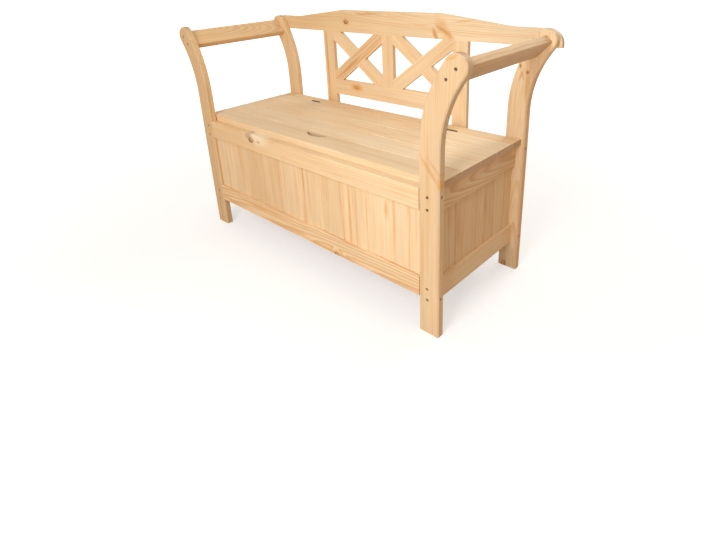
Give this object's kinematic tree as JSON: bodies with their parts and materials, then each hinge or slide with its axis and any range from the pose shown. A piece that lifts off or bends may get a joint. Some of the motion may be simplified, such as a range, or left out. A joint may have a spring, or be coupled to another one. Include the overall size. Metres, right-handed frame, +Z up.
{
  "type": "garden storage bench",
  "caption": "Bare pine garden bench with a storage chest under a hinged seat lid, posts sweeping out to scrolled heads, armrest bars and a lattice back with a raised crest rail",
  "frame": {"origin": "centre of the footprint on the ground", "axes": "+X to the right seen from the front, -Y to the front of the bench, +Z up"},
  "size_m": [1.3148, 0.49, 0.8368],
  "materials": {
    "pine": "planed bare pine, matt",
    "plywood": "thin brown plywood, matt",
    "hinge_steel": "zinc plated sheet steel"
  },
  "bodies": {
    "frame": {"right_front_post": "pine", "right_rear_post": "pine", "right_armrest": "pine", "right_side_top_rail": "pine", "right_side_bottom_rail": "pine", "right_side_boards": "pine", "right_floor_panel": "plywood", "right_upright": "pine", "right_rising_diagonal": "pine", "right_falling_diagonal": "pine", "right_hinge_fixed_leaf": "hinge_steel", "right_hinge_pin": "hinge_steel", "left_front_post": "pine", "left_rear_post": "pine", "left_armrest": "pine", "left_side_top_rail": "pine", "left_side_bottom_rail": "pine", "left_side_boards": "pine", "left_floor_panel": "plywood", "left_upright": "pine", "left_rising_diagonal": "pine", "left_falling_diagonal": "pine", "left_hinge_fixed_leaf": "hinge_steel", "left_hinge_pin": "hinge_steel", "front_apron": "pine", "front_bottom_rail": "pine", "rear_top_rail": "pine", "rear_bottom_rail": "pine", "front_boards": "pine", "rear_boards": "pine", "front_floor_ledger": "pine", "rear_floor_ledger": "pine", "hinge_strip": "pine", "crest_rail": "pine", "centre_mullion": "pine", "lattice_rail": "pine"},
    "lid": {"lid_front_board": "pine", "lid_second_board": "pine", "lid_third_board": "pine", "lid_rear_board": "pine", "right_lid_inner_batten": "pine", "right_lid_outer_batten": "pine", "right_hinge_lid_leaf": "hinge_steel", "left_lid_inner_batten": "pine", "left_lid_outer_batten": "pine", "left_hinge_lid_leaf": "hinge_steel"}
  },
  "joints": [
    {"name": "lid_hinge", "type": "hinge", "parent": "frame", "child": "lid", "pos_m": [0, 0.152, 0.471], "axis": [-1, 0, 0], "range_deg": [0, 100]}
  ]
}
